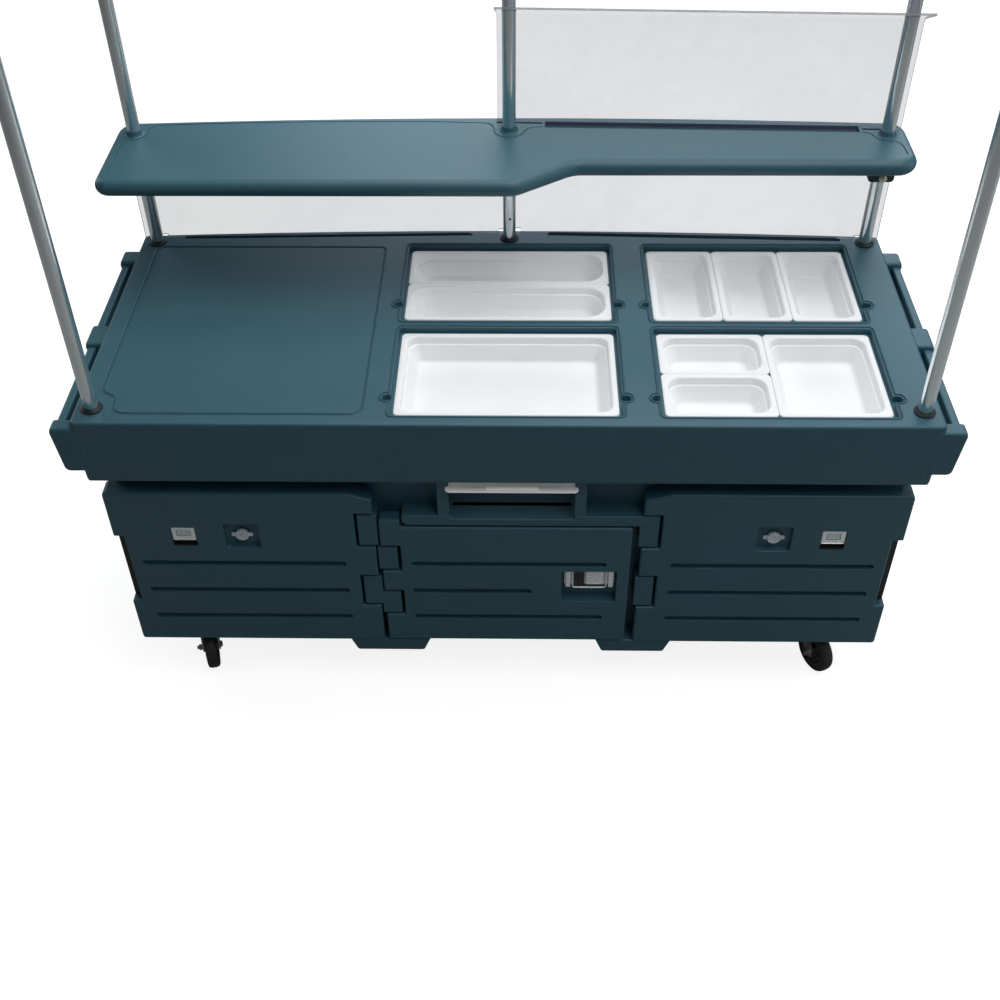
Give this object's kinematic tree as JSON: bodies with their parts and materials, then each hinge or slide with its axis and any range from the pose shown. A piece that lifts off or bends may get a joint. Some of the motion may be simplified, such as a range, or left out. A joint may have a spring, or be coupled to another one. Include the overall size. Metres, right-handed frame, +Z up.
{
  "type": "mobile salad bar",
  "caption": "Mobile salad bar: moulded base with storage doors, counter with food pans in wells, posts, stepped serving shelf, clear guards and swivel casters.",
  "frame": {"origin": "on the floor, in the middle of the footprint", "axes": "+X along the counter to the customer's right, +Y from the door side to the guard side, +Z up"},
  "size_m": [2.126, 0.8934, 2.016],
  "materials": {
    "body_plastic": "satin moulded, fine grain",
    "post_metal": "satin",
    "black_plastic": "matte",
    "knob_plastic": "satin",
    "clear_guard": "clear, polished",
    "steel": "zinc plated",
    "latch_metal": "satin",
    "paddle_metal": "satin",
    "lock_black": "gloss",
    "pan_plastic": "soft gloss",
    "hub_plastic": "satin",
    "tyre": "matte",
    "pedal": "satin"
  },
  "bodies": {
    "carcass": {"base_body": "body_plastic", "counter_top": "body_plastic", "front_left_post": "post_metal", "front_right_post": "post_metal", "rear_left_post": "post_metal", "rear_right_post": "post_metal", "rear_centre_post": "post_metal", "post_grommets": "black_plastic", "serving_shelf": "body_plastic", "shelf_collars": "black_plastic", "collar_knobs": "knob_plastic", "lower_left_guard": "clear_guard", "lower_right_guard": "clear_guard", "upper_guard": "clear_guard", "top_frame": "post_metal", "hinge_pins": "steel", "caster_plates": "steel", "caster_bolts": "steel"},
    "left_door": {"left_door": "body_plastic", "left_latch_plate": "latch_metal"},
    "right_door": {"right_door": "body_plastic", "right_latch_plate": "latch_metal"},
    "centre_door": {"centre_door": "body_plastic", "draw_latch_housing": "latch_metal", "lock_case": "black_plastic"},
    "left_paddle": {"left_latch_paddle": "paddle_metal"},
    "right_paddle": {"right_latch_paddle": "paddle_metal"},
    "left_lock": {"left_lock_knob": "paddle_metal"},
    "right_lock": {"right_lock_knob": "paddle_metal"},
    "latch_lever": {"draw_latch_lever": "latch_metal"},
    "latch_bail": {"draw_latch_bail": "latch_metal"},
    "lock_plug": {"key_cylinder": "lock_black"},
    "tray": {"pull_out_tray": "pan_plastic"},
    "full_pan": {"full_pan": "pan_plastic"},
    "long_pan_front": {"long_pan_front": "pan_plastic"},
    "long_pan_back": {"long_pan_back": "pan_plastic"},
    "third_pan_left": {"third_pan_left": "pan_plastic"},
    "third_pan_middle": {"third_pan_middle": "pan_plastic"},
    "third_pan_right": {"third_pan_right": "pan_plastic"},
    "quarter_pan_front": {"quarter_pan_front": "pan_plastic"},
    "quarter_pan_back": {"quarter_pan_back": "pan_plastic"},
    "half_pan": {"half_pan": "pan_plastic"},
    "front_left_caster": {"front_left_fork": "steel", "front_left_axle": "steel"},
    "front_left_wheel": {"front_left_hub": "hub_plastic", "front_left_tyre": "tyre"},
    "front_right_caster": {"front_right_fork": "steel", "front_right_axle": "steel"},
    "front_right_wheel": {"front_right_hub": "hub_plastic", "front_right_tyre": "tyre"},
    "rear_left_caster": {"rear_left_fork": "steel", "rear_left_axle": "steel"},
    "rear_left_wheel": {"rear_left_hub": "hub_plastic", "rear_left_tyre": "tyre"},
    "rear_right_caster": {"rear_right_fork": "steel", "rear_right_axle": "steel"},
    "rear_right_wheel": {"rear_right_hub": "hub_plastic", "rear_right_tyre": "tyre"},
    "rear_left_brake": {"rear_left_brake_pedal": "pedal"},
    "rear_right_brake": {"rear_right_brake_pedal": "pedal"}
  },
  "joints": [
    {"name": "left_door_hinge", "type": "hinge", "parent": "carcass", "child": "left_door", "pos_m": [-0.349, -0.4065, 0.4], "axis": [0, 0, 1], "range_deg": [0, 90]},
    {"name": "centre_door_hinge", "type": "hinge", "parent": "carcass", "child": "centre_door", "pos_m": [-0.302, -0.4065, 0.4], "axis": [0, 0, 1], "range_deg": [-90, 0]},
    {"name": "right_door_hinge", "type": "hinge", "parent": "carcass", "child": "right_door", "pos_m": [0.357, -0.4065, 0.4], "axis": [0, 0, 1], "range_deg": [-90, 0]},
    {"name": "left_paddle_hinge", "type": "hinge", "parent": "left_door", "child": "left_paddle", "pos_m": [-0.812, -0.4211, 0.571], "axis": [1, 0, 0], "range_deg": [-35, 0], "stiffness_Nm_per_rad": 0.05},
    {"name": "right_paddle_hinge", "type": "hinge", "parent": "right_door", "child": "right_paddle", "pos_m": [0.816, -0.4211, 0.571], "axis": [1, 0, 0], "range_deg": [-35, 0], "stiffness_Nm_per_rad": 0.05},
    {"name": "left_lock_turn", "type": "hinge", "parent": "left_door", "child": "left_lock", "pos_m": [-0.666, -0.4145, 0.552], "axis": [0, 1, 0], "range_deg": [0, 90]},
    {"name": "right_lock_turn", "type": "hinge", "parent": "right_door", "child": "right_lock", "pos_m": [0.669, -0.4145, 0.552], "axis": [0, 1, 0], "range_deg": [0, 90]},
    {"name": "latch_lever_hinge", "type": "hinge", "parent": "centre_door", "child": "latch_lever", "pos_m": [0.229, -0.408, 0.425], "axis": [1, 0, 0], "range_deg": [-30, 0], "stiffness_Nm_per_rad": 0.08},
    {"name": "latch_bail_hinge", "type": "hinge", "parent": "centre_door", "child": "latch_bail", "pos_m": [0.214, -0.415, 0.424], "axis": [1, 0, 0], "range_deg": [-90, 0]},
    {"name": "lock_plug_turn", "type": "hinge", "parent": "centre_door", "child": "lock_plug", "pos_m": [0.187, -0.4095, 0.4], "axis": [0, 1, 0], "range_deg": [0, 90]},
    {"name": "tray_slide", "type": "slide", "parent": "carcass", "child": "tray", "axis": [0, -1, 0], "range_m": [0, 0.4]},
    {"name": "full_pan_lift", "type": "slide", "parent": "carcass", "child": "full_pan", "axis": [0, 0, 1], "range_m": [0, 0.2]},
    {"name": "long_pan_front_lift", "type": "slide", "parent": "carcass", "child": "long_pan_front", "axis": [0, 0, 1], "range_m": [0, 0.2]},
    {"name": "long_pan_back_lift", "type": "slide", "parent": "carcass", "child": "long_pan_back", "axis": [0, 0, 1], "range_m": [0, 0.2]},
    {"name": "third_pan_left_lift", "type": "slide", "parent": "carcass", "child": "third_pan_left", "axis": [0, 0, 1], "range_m": [0, 0.2]},
    {"name": "third_pan_middle_lift", "type": "slide", "parent": "carcass", "child": "third_pan_middle", "axis": [0, 0, 1], "range_m": [0, 0.2]},
    {"name": "third_pan_right_lift", "type": "slide", "parent": "carcass", "child": "third_pan_right", "axis": [0, 0, 1], "range_m": [0, 0.2]},
    {"name": "quarter_pan_front_lift", "type": "slide", "parent": "carcass", "child": "quarter_pan_front", "axis": [0, 0, 1], "range_m": [0, 0.2]},
    {"name": "quarter_pan_back_lift", "type": "slide", "parent": "carcass", "child": "quarter_pan_back", "axis": [0, 0, 1], "range_m": [0, 0.2]},
    {"name": "half_pan_lift", "type": "slide", "parent": "carcass", "child": "half_pan", "axis": [0, 0, 1], "range_m": [0, 0.2]},
    {"name": "front_left_swivel", "type": "hinge", "parent": "carcass", "child": "front_left_caster", "pos_m": [-0.842, -0.3255, 0.14], "axis": [0, 0, 1], "continuous": true},
    {"name": "front_left_roll", "type": "hinge", "parent": "front_left_caster", "child": "front_left_wheel", "pos_m": [-0.83232, -0.36431, 0.0635], "axis": [0.9703, 0.2419, 0], "continuous": true},
    {"name": "front_right_swivel", "type": "hinge", "parent": "carcass", "child": "front_right_caster", "pos_m": [0.842, -0.3255, 0.14], "axis": [0, 0, 1], "continuous": true},
    {"name": "front_right_roll", "type": "hinge", "parent": "front_right_caster", "child": "front_right_wheel", "pos_m": [0.85954, -0.36145, 0.0635], "axis": [0.8988, 0.4384, 0], "continuous": true},
    {"name": "rear_left_swivel", "type": "hinge", "parent": "carcass", "child": "rear_left_caster", "pos_m": [-0.842, 0.3065, 0.14], "axis": [0, 0, 1], "continuous": true},
    {"name": "rear_left_roll", "type": "hinge", "parent": "rear_left_caster", "child": "rear_left_wheel", "pos_m": [-0.82832, 0.26891, 0.0635], "axis": [0.9397, 0.342, 0], "continuous": true},
    {"name": "rear_right_swivel", "type": "hinge", "parent": "carcass", "child": "rear_right_caster", "pos_m": [0.842, 0.3065, 0.14], "axis": [0, 0, 1], "continuous": true},
    {"name": "rear_right_roll", "type": "hinge", "parent": "rear_right_caster", "child": "rear_right_wheel", "pos_m": [0.84757, 0.26689, 0.0635], "axis": [0.9903, 0.1392, 0], "continuous": true},
    {"name": "rear_left_brake_hinge", "type": "hinge", "parent": "rear_left_caster", "child": "rear_left_brake", "pos_m": [-0.84747, 0.32154, 0.124], "axis": [0.9397, 0.342, 0], "range_deg": [-14, 0]},
    {"name": "rear_right_brake_hinge", "type": "hinge", "parent": "rear_right_caster", "child": "rear_right_brake", "pos_m": [0.83977, 0.32234, 0.124], "axis": [0.9903, 0.1392, 0], "range_deg": [-14, 0]}
  ]
}
